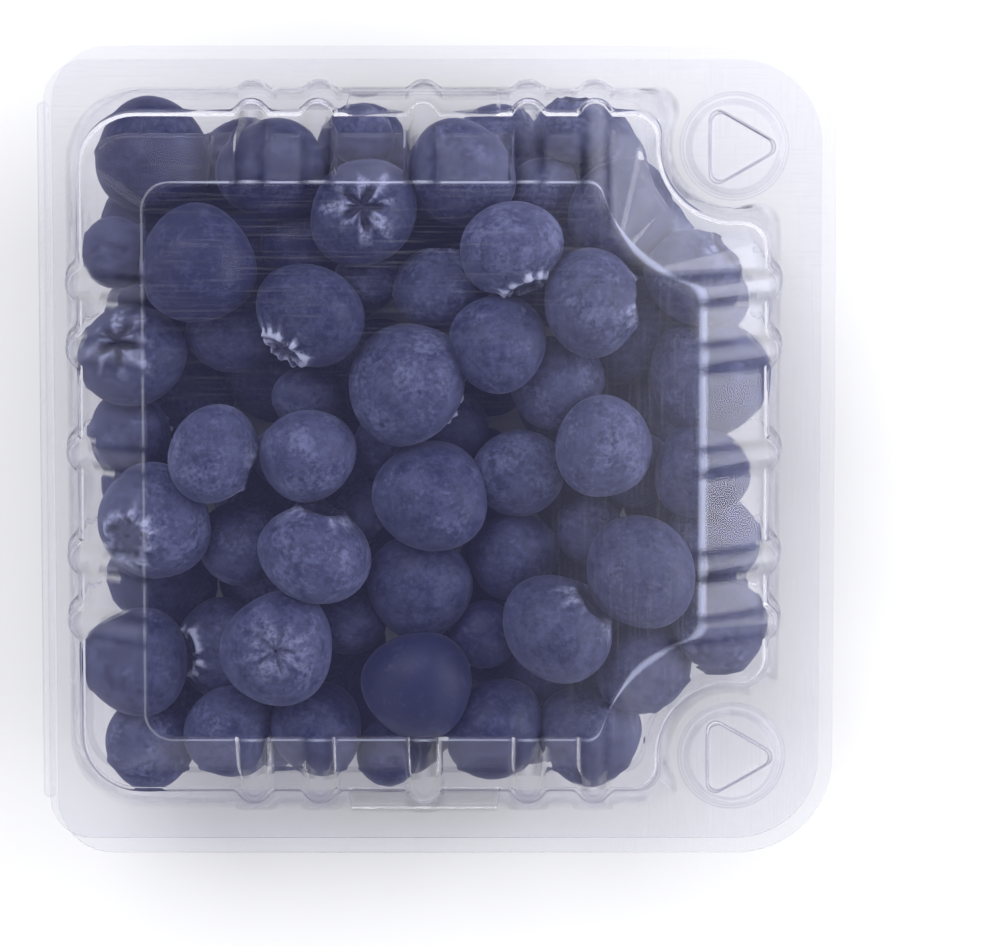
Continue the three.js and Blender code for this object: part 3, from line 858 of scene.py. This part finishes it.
# The fruit. These rows are the berries that show from above, the highest first: place and
# diameter, then for those whose crown shows, its lean from straight up, its heading and its kind.
topFruit = (
    (-3.9, 10.5, 17.5),
    (-18.1, 20.1, 15.8, 66, 232, 1),
    (10.2, 31, 14.8, 70, 292, 1),
    (0.3, -5.9, 16.2),
    (-22.8, -27.8, 16, 6, 100, 2),
    (-4.8, -44, 16.4),
    (8.8, 15.7, 13.6),
    (21.6, 23.4, 15.4, 88, 0, 3),
    (-17.7, -15, 15.8, 86, 80, 3),
    (-40.6, -8.9, 16.4, 34, 204, 4),
    (-44.2, 12.1, 14.8, 32, 120, 0),
    (-3, -33.4, 15.6),
    (16.7, -25.4, 16.2, 75, 40, 3),
    (29.6, -16.9, 15.6),
    (-10.6, 34.7, 15, 14, 90, 0),
    (26.2, 33.2, 15.2),
    (-41, 42.4, 16.4),
    (38.4, 10.1, 17),
    (-32.6, -0.4, 14.2, 88, 340, 3),
    (-43.6, -33.6, 15.4),
    (-33.3, -32, 14.2, 56, 178, 1),
    (36.8, 24.9, 14.4, 82, 42, 3),
    (-18.7, 0, 13.6),
    (5.1, 38.1, 15.8),
    (-23.6, 40.2, 15.2),
    (16.8, 9.8, 13.4),
    (10.6, -3.7, 13.4),
    (38.7, -14.3, 13.8),
    (38.4, -2.7, 13.4),
    (39, -24.7, 13.8),
    (-2.6, -21.4, 15.2),
    (11.3, -16.5, 13),
    (23.6, 1.4, 14.4),
    (31.6, 16.6, 15.4),
    (-34.2, 27.4, 16.4),
    (-42, -41, 13.4),
    (-30, -40.2, 13.2),
    (-17.6, -40.8, 13.4),
    (9.1, -40.5, 14.6),
    (22.2, -40.5, 14.6),
    (32.6, -31.2, 13.8),
    (-44.4, 2, 12.6),
    (14.6, -34.2, 12.8),
)
lowFruit = ((-35.2, -37.4), (-13.2, -35.4), (21.9, -34.8))  # in the gaps near the floor

fruit = {
    "flatness": 0.86,
    "squash": 0.93,  # how near two berries' middles come, of their radii together
    "hiddenTilt": 125,  # a crown that doesn't show points down
    "hiddenSpread": 50,
    "deepTilt": 70,
    "deepSpread": 110,
    "lowSize": 9.6,
    "lowHeight": 9.4,
    "rows": 6,  # of berries on the tub's floor, both ways
    "smallest": 13,
    "spread": 3.4,
    "jitter": 1.6,
    "rounds": 200,
    "deepest": 9,
    "aimPull": 0.08,
    "aimLift": 0.05,
    "seed": 7,
    "fullness": 1.03,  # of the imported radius, where skins press on each other
    "fillers": 70,
    "fillerTries": 800,
    "fillerRadius": (4.2, 7.2),
    "fillerHeights": (8.0, 24.0),
    "coreInset": 12.0,
    "coreDraft": 4,
    "coreRound": 2.5,
    "coreHeights": (6.0, 10.5),
    "paintedShadePlaces": ((-30.0, 33.0), (-2.0, -36.0)),  # round here the berries get painted shade: their bloom is made thinner
    "paintedShadeReach": 17.0,
    "paintedShadeStrength": 2.1,
    "toneSpread": 0.5,
    "toneSeed": 4,
    "deepPaintedLight": 0.1,  # berries lower down get painted light: their bloom is made thicker
}
panelTop = lidHigh[2]
fruitFloor = pack["sheet"] + pack["clearance"]


def drawsFrom(seed):  # repeatable draws from 0 to 1
    factor, span = 16807, 2 ** 31 - 1
    state = seed

    def draw():
        nonlocal state
        state = state * factor % span
        return state / span

    return draw


def wallDistances(x, y):  # inside distance, lid ledge and tub overhang for each wall
    bx, by = pack["button"]
    notch = math.sqrt((x - bx) ** 2 + (abs(y) - by) ** 2) - pack["notchRadius"]
    return ((x - pack["bodyWest"], lidShape["sideLedge"], tubShape["mouthOutX"]),
            (pack["bodyEast"] - x, lidShape["sideLedge"], tubShape["mouthOutX"]),
            (pack["bodyHalf"] - abs(y), lidShape["endLedge"], tubShape["mouthOutY"]),
            (notch, lidShape["notchLedge"], tubShape["mouthOutX"]))


def ceiling(x, y, radius):  # how high a berry's middle may be under the lid
    room = radius + pack["clearance"]
    rise = lidShape["ledgeRise"]
    foot = lidFlange - pack["sheet"]
    ledge = foot + rise
    panel = panelTop - pack["sheet"]
    limits = [panel - room]
    for inside, width, _ in wallDistances(x, y):
        low = math.sqrt(width ** 2 + rise ** 2)
        run = lidShape["panelInset"] - width
        slope = math.sqrt(run ** 2 + (panel - ledge) ** 2)
        limits.append(foot + (rise * (inside - pack["sheet"]) - room * low) / width)
        limits.append(ledge + ((panel - ledge) * (inside - pack["sheet"] - width)
                               - room * slope) / run)
    return min(limits)


def keepInside(berry):  # moves a berry that would cross the tub's wall straight inwards
    room = berry["radius"] + pack["clearance"] + pack["sheet"]
    share = (tubShape["flange"] - berry["z"]) / tubShape["flange"]
    west, east, end, notch = (room - (inside + out - tubShape["lean"] * share)
                              for inside, _, out in wallDistances(berry["x"], berry["y"]))
    northward = math.copysign(1, berry["y"])
    if notch > 0:
        dx, dy = berry["x"] - pack["button"][0], abs(berry["y"]) - pack["button"][1]
        far = math.sqrt(dx * dx + dy * dy)
        berry["x"] += notch * dx / far
        berry["y"] += notch * dy * northward / far
    if west > 0:
        berry["x"] += west
    if east > 0:
        berry["x"] -= east
    if end > 0:
        berry["y"] -= end * northward


def berryAt(x, y, z, radius, tilt, heading, **more):
    return {"x": x, "y": y, "z": z, "radius": radius, "tilt": tilt, "heading": heading, **more}


def placeTopFruit(draw):  # each as high as the lid and the fruit before it allow
    placed = []
    for x, y, diameter, *crown in topFruit:
        tilt, heading, kind = crown or (fruit["hiddenTilt"] + fruit["hiddenSpread"] * draw(),
                                        360 * draw(), int(finestKinds * draw()))
        radius = diameter / 2
        highest = ceiling(x, y, radius)
        z = highest
        for other in placed:
            touch = fruit["squash"] * (radius + other["radius"])
            gap = touch ** 2 - (x - other["x"]) ** 2 - (y - other["y"]) ** 2
            if gap > 0:
                z = min(z, other["z"] - math.sqrt(gap))
        placed.append(berryAt(x, y, max(z, highest - fruit["deepest"]), radius, tilt, heading,
                              kind=kind, aim=(x, y)))
    return placed


def placeFloorFruit(draw):  # scattered over a grid on the tub's floor
    stepX = (pack["bodyEast"] - pack["bodyWest"]) / fruit["rows"]
    stepY = 2 * pack["bodyHalf"] / fruit["rows"]
    placed = []
    for row in range(fruit["rows"]):
        for column in range(fruit["rows"]):
            radius = (fruit["smallest"] + fruit["spread"] * draw()) / 2
            x = pack["bodyWest"] + stepX * (column + 0.5) + fruit["jitter"] * (2 * draw() - 1)
            y = stepY * (row + 0.5) - pack["bodyHalf"] + fruit["jitter"] * (2 * draw() - 1)
            placed.append(berryAt(x, y, fruitFloor + radius, radius,
                                  fruit["deepTilt"] + fruit["deepSpread"] * draw(),
                                  360 * draw()))
    return placed


def pushApart(berry, other):
    dx, dy, dz = (berry[axis] - other[axis] for axis in "xyz")
    apart = math.sqrt(dx * dx + dy * dy + dz * dz)
    push = fruit["squash"] * (berry["radius"] + other["radius"]) - apart
    if push > 0:
        for axis, part in zip("xyz", (dx, dy, dz)):
            berry[axis] += 0.5 * push / apart * part
            other[axis] -= 0.5 * push / apart * part


def settle(berries):  # shakes the fruit until none crosses another, the tub or the lid
    for _ in range(fruit["rounds"]):
        for berry in berries:
            for other in berries:
                if other is not berry:
                    pushApart(berry, other)
        for berry in berries:
            if "aim" in berry:
                berry["x"] += fruit["aimPull"] * (berry["aim"][0] - berry["x"])
                berry["y"] += fruit["aimPull"] * (berry["aim"][1] - berry["y"])
                berry["z"] += fruit["aimLift"]
            else:
                berry["z"] -= fruit["aimLift"]
            keepInside(berry)
            berry["z"] = min(berry["z"], ceiling(berry["x"], berry["y"], berry["radius"]))
            berry["z"] = max(berry["z"], fruitFloor + berry["radius"])


def fillerFruit(berries):  # berries in the free room between the top ones and the floor's
    chance = np.random.default_rng(fruit["seed"])
    least, most = fruit["fillerRadius"]
    low, high = fruit["fillerHeights"]
    places = [[berry[axis] for axis in "xyz"] for berry in berries]
    radii = [berry["radius"] for berry in berries]
    added = []
    while len(added) < fruit["fillers"]:
        tries = chance.random((fruit["fillerTries"], 3))
        tries[:, 0] = pack["bodyWest"] + tries[:, 0] * (pack["bodyEast"] - pack["bodyWest"])
        tries[:, 1] = (2 * tries[:, 1] - 1) * pack["bodyHalf"]
        tries[:, 2] = low + tries[:, 2] * (high - low)
        apart = np.linalg.norm(np.array(places)[None] - tries[:, None], axis=2)
        room = np.minimum((apart / fruit["squash"] - np.array(radii)).min(axis=1), most)
        share = tubShape["lean"] * (1 - tries[:, 2] / tubShape["flange"])
        for i, (x, y, _) in enumerate(tries):
            walls = [inside + out for inside, _, out in wallDistances(x, y)]
            room[i] = min(room[i], min(walls) - share[i] - pack["clearance"] - pack["sheet"])
        best = room.argmax()
        if room[best] < least:
            break
        (x, y, z), radius = tries[best], float(room[best])
        places.append([x, y, z])
        radii.append(radius)
        added.append(berryAt(x, y, min(z, ceiling(x, y, radius)), radius,
                             fruit["deepTilt"] + fruit["deepSpread"] * chance.random(),
                             360 * chance.random()))
    return added + [berryAt(x, y, fruit["lowHeight"], fruit["lowSize"] / 2, 180, 0)
                    for x, y in lowFruit]


crownShape = {
    "rim": 24,  # degrees from the crown's middle to its rim
    "pitDepth": 0.17,  # of the berry's radius, as are the next two
    "rimHeight": 0.035,
    "tipHeight": 0.06,
    "scar": 8,  # degrees across the stem's mark
    "wobble": 0.018,
    "fineRings": 1.7,  # of the rim's angle, where half of the rings lie
    "gaps": {  # between folded points: middle, narrowness, pit's depth, halo's strength
        "star": (0.4, 1.5, 1.0, 1.0),
        "closed": (0.28, 5, 0.35, 0.5),
    },
    "frills": {"ring": 1.7, "softRing": 0.5},  # how pale the edge of a wide crown is
}


def berryMesh(name, kind, seed, around, down):  # a berry of radius 1 mm, crown up
    v = crownShape
    chance = np.random.default_rng(seed)
    rim = math.radians(v["rim"])
    inner = np.linspace(0, v["fineRings"] * rim, down // 2 + 1)
    theta = np.concatenate((inner, np.linspace(inner[-1], math.pi, down - down // 2 + 1)[1:]))
    theta = theta[1:-1, None]
    phi = np.linspace(0, 2 * math.pi, around, endpoint=False)[None, :]
    s = theta / rim
    turn = chance.random() * 2 * math.pi
    waves = chance.normal(size=(6, 4))
    wobble = sum(a * np.cos(k * phi + b) * np.sin(theta) ** k * np.cos(j * theta + c)
                 for (a, b, c, _), k, j in zip(waves, (1, 2, 2, 3, 3, 4), (1, 0, 2, 1, 2, 1)))
    ragged = sum(a * np.cos(k * phi + 3 * b)
                 for (a, b, _, _), k in zip(waves, (3, 7, 8, 11, 13, 17)))
    lobes = np.cos(2.5 * (phi - turn)) ** 2  # 1 at the middle of each of the five points
    zero = np.zeros_like(s * phi)
    if kind in v["gaps"]:  # points folded in, with a dark five-armed gap between them
        middle, narrow, depth, glow = v["gaps"][kind]
        reach = middle + 0.72 * (1 - lobes) ** narrow + 0.04 * ragged
        pit = smoothStep(-0.16, 0.16, reach - s) * depth
        lift = v["rimHeight"] * np.exp(-((s - 1.0) / 0.35) ** 2) * (0.6 + 0.6 * lobes)
        tip = zero
    elif kind in v["frills"]:  # a wide open crown with low points
        pit = 0.6 * smoothStep(-0.12, 0.12, 0.78 + 0.05 * ragged - s)
        lift = v["rimHeight"] * 1.7 * np.exp(-((s - 1.0) / 0.2) ** 2) * (1 + 0.35 * ragged)
        tip = smoothStep(0.1, 0.5, lobes - 0.4) * np.exp(-((s - 0.8) / 0.09) ** 2)
    else:  # standing points, dry and dark
        pit = smoothStep(-0.14, 0.14, 0.86 - s)
        stand = np.clip(lobes * 1.1 - 0.2 + 0.12 * ragged, 0, 1.0)
        lift = v["tipHeight"] * stand * np.exp(-((s - 1.02) / 0.15) ** 2)
        lift = lift + v["rimHeight"] * np.exp(-((s - 1.1) / 0.3) ** 2)
        tip = smoothStep(0.15, 0.6, stand) * np.exp(-((s - 1.0) / 0.17) ** 2)
    halo = smoothStep(0, 1, 1.55 + 0.16 * ragged - s) * (1 - pit)
    if kind in v["gaps"]:
        halo *= glow
    if kind in v["frills"]:
        halo = halo + v["frills"][kind] * np.exp(-((s - 1.0 - 0.08 * ragged) / 0.16) ** 2)
    scar = smoothStep(-0.03, 0.03, math.radians(v["scar"]) - (math.pi - theta)) + zero
    radial = 1 + v["wobble"] * wobble + lift - v["pitDepth"] * pit - 0.05 * scar
    points = np.stack((radial * np.sin(theta) * np.cos(phi), radial * np.sin(theta) * np.sin(phi),
                       radial * np.cos(theta) * fruit["flatness"]), axis=-1).reshape(-1, 3)
    poles = [(0, 0, (1 - v["pitDepth"]) * fruit["flatness"]), (0, 0, -0.95 * fruit["flatness"])]
    points = np.vstack((points, poles)) * mm
    rings = theta.shape[0]
    top, bottom = rings * around, rings * around + 1
    faces = []
    for j in range(around):
        k = (j + 1) % around
        faces.append((top, j, k))
        faces.append((bottom, top - around + k, top - around + j))
        faces += [(i * around + j, (i + 1) * around + j, (i + 1) * around + k, i * around + k)
                  for i in range(rings - 1)]
    mesh = bpy.data.meshes.new(name)
    mesh.from_pydata(points.tolist(), [], faces)
    for label, layer, poleValues in (("pit", np.clip(pit + 0.15 * scar, 0, 1), (1, 0.15)),
                                     ("tip", tip, (0, 0)), ("crown", halo, (0, 0))):
        storeOn(mesh, label, "FLOAT", np.append((layer + zero).reshape(-1), poleValues))
    mesh.shade_smooth()
    return mesh


fruitKinds = (  # crown, seed, points around, rings down
    ("star", 3, 52, 32),
    ("ring", 5, 52, 32),
    ("closed", 8, 52, 32),
    ("points", 13, 52, 32),
    ("softRing", 5, 52, 32),
    ("closed", 21, 24, 14),
    ("points", 34, 24, 14),
)
finestKinds = sum(row[2] == fruitKinds[0][2] for row in fruitKinds)


def fruitTree():  # puts a berry of the asked kind, size and turn at each point
    tree, add, source = groupTree("packedFruit", (
        ("Berries", "Collection"), ("Tone Spread", "Float"), ("Dullness", "Float"),
        ("Seed", "Int")))
    turn, kind, radius, rubbed = (
        add("GeometryNodeInputNamedAttribute", {"Name": name}, data_type=dataType)
        for name, dataType in (("turn", "FLOAT_VECTOR"), ("kind", "INT"), ("radius", "FLOAT"),
                               ("rubbed", "FLOAT")))
    berries = add("GeometryNodeCollectionInfo",
                  {"Collection": source["Berries"], "Separate Children": True,
                   "Reset Children": True})
    spin = add("FunctionNodeRandomValue", {2: 0.0, 3: 2 * math.pi, "Seed": source["Seed"]})[1]
    about = add("ShaderNodeCombineXYZ", {"Z": spin})
    turned = add("FunctionNodeRotateRotation", {"Rotation": turn, "Rotate By": about},
                 rotation_space="LOCAL")
    placed = add("GeometryNodeInstanceOnPoints",
                 {"Points": source["Geometry"], "Instance": berries, "Pick Instance": True,
                  "Instance Index": kind, "Rotation": turned, "Scale": radius})
    spread = source["Tone Spread"]
    lowest = add("ShaderNodeMath", {0: spread, 1: -1.0}, operation="MULTIPLY")
    tone = add("FunctionNodeRandomValue", {2: lowest, 3: spread, "Seed": source["Seed"]})[1]
    # Each berry's random tone, less its painted shade; a negative painted shade is painted light
    lost = add("ShaderNodeMath", {0: rubbed, 1: source["Dullness"]}, operation="MULTIPLY")
    left = add("ShaderNodeMath", {0: tone, 1: lost}, operation="SUBTRACT")
    toned = add("GeometryNodeStoreNamedAttribute",
                {"Geometry": placed, "Name": "tone", "Value": left}, domain="INSTANCE")
    endTree(add, source, toned)
    return tree


def makeFruit():
    draw = drawsFrom(fruit["seed"])
    top = placeTopFruit(draw)
    berries = top + placeFloorFruit(draw)
    settle(berries)
    every = berries + fillerFruit(berries)
    print("berries:", len(top), "on top,", len(berries) - len(top), "on the floor,",
          len(every) - len(berries), "between")
    kinds = bpy.data.collections.new("berryKinds")
    for i, (kind, *rest) in enumerate(fruitKinds):
        name = f"{i}{kind}Berry"
        kinds.objects.link(bpy.data.objects.new(name, berryMesh(name, kind, *rest)))
    chance = np.random.default_rng(fruit["seed"])
    kind = chance.integers(finestKinds, len(fruitKinds), len(every))
    kind[:len(top)] = [berry["kind"] for berry in top]
    # Painted shade round the painted-shade places, and painted light as a negative value on the
    # lower berries
    rubbed = [max(math.exp(-((berry["x"] - x) ** 2 + (berry["y"] - y) ** 2)
                           / fruit["paintedShadeReach"] ** 2) for x, y in fruit["paintedShadePlaces"])
              - (fruit["deepPaintedLight"] if i >= len(top) else 0.0) for i, berry in enumerate(every)]
    mesh = bpy.data.meshes.new("blueberryPoints")
    mesh.from_pydata([[berry[axis] * mm for axis in "xyz"] for berry in every], [], [])
    storeOn(mesh, "radius", "FLOAT", [berry["radius"] * fruit["fullness"] for berry in every])
    storeOn(mesh, "turn", "FLOAT_VECTOR", [
        angle for berry in every
        for angle in (0, math.radians(berry["tilt"]), math.radians(berry["heading"]))])
    storeOn(mesh, "kind", "INT", kind.astype(np.int32))
    storeOn(mesh, "rubbed", "FLOAT", rubbed)
    heap = newObject("blueberryHeap", mesh)
    heap.data = applyNodes(heap, fruitTree(), {
        "Berries": kinds, "Tone Spread": fruit["toneSpread"], "Seed": fruit["toneSeed"],
        "Dullness": fruit["paintedShadeStrength"], "Material": fruitSkin})
    for made in list(kinds.objects):
        bpy.data.objects.remove(made)
    bpy.data.collections.remove(kinds)
    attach(heap, "tub")
    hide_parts("blueberries")
    print("fruit:", sum(len(face.vertices) - 2 for face in heap.data.polygons), "triangles")


def makeCore():  # dark fruit behind the berries, out of reach of the light
    low, high = fruit["coreHeights"]
    inset, draft, bend = fruit["coreInset"], fruit["coreDraft"], fruit["coreRound"]
    core = SheetMesh()
    bottom, top = core.loft(roundProfile(
        [bodyOutline(inset + more, z)
         for more, z in ((draft, low), (0, low), (0, high), (draft, high))], (0, bend, bend)))
    core.fill(bottom)
    core.fill(top)
    block = core.finish("deepFruit")
    dropRibLayers(block.data)
    block.data.materials.append(darkFruit)
    block.data.shade_smooth()
    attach(block, "tub")
    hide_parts("blueberries")


makeFruit()
makeCore()
print("fruit packed")


# White paper under the pack, three softboxes and a tent of white cloth round it
studio = {
    "floorSize": 4000.0,
    "floorDrop": 0.05,  # keeps the paper clear of the tub's base
    "tent": "#f6f6f9",
    "opening": "#2a2a36",  # the tent is open over the pack, to a dark room
    "openingLean": 7.0,  # degrees from straight up, towards -Y
    "openingEdge": (10.0, 30.0),
    "tentStrength": 0.8,
    "lamps": {  # place, width, height, watts
        "keySoftbox": ((-380, 780, 860), 900, 600, 7.2),
        "eastSoftbox": ((950, 160, 340), 1000, 620, 10.5),
        "westSoftbox": ((-950, -100, 460), 900, 600, 2.0),
    },
}


def makeStudio(values):
    half = values["floorSize"] / 2 * mm
    mesh = bpy.data.meshes.new("studioFloor")
    drop = -values["floorDrop"] * mm
    mesh.from_pydata([(-half, -half, drop), (half, -half, drop), (half, half, drop),
                      (-half, half, drop)], [], [(0, 1, 2, 3)])
    mesh.materials.append(floorPaper())
    newObject("studioFloor", mesh)
    for name, (place, width, height, watts) in values["lamps"].items():
        lamp = newObject(name, bpy.data.lights.new(name, "AREA"))
        lamp.data.shape = "RECTANGLE"
        lamp.data.size, lamp.data.size_y = width * mm, height * mm
        lamp.data.energy = watts
        lamp.location = Vector(place) * mm
        lamp.rotation_euler = (-lamp.location).to_track_quat("-Z", "Y").to_euler()
    world = bpy.data.worlds.new("studioWorld")
    world.use_nodes = True
    world.node_tree.nodes.clear()
    add = partial(addNode, world.node_tree)
    sight = add("ShaderNodeTexCoord")["Generated"]
    lean = math.radians(values["openingLean"])
    opening = (0, -math.sin(lean), math.cos(lean))
    near = add("ShaderNodeVectorMath", {0: sight, 1: opening}, operation="DOT_PRODUCT")["Value"]
    inside, outside = (math.cos(math.radians(angle)) for angle in values["openingEdge"])
    fade = add("ShaderNodeMapRange", {"Value": near, "From Min": outside, "From Max": inside},
               interpolation_type="SMOOTHSTEP")
    color = add("ShaderNodeMix", {0: fade, 6: values["tent"], 7: values["opening"]},
                data_type="RGBA")[2]
    background = add("ShaderNodeBackground", {"Color": color, "Strength": values["tentStrength"]})
    add("ShaderNodeOutputWorld", {"Surface": background})
    scene.world = world
    scene.view_settings.view_transform = "Standard"


makeStudio(studio)
print("studio lit")
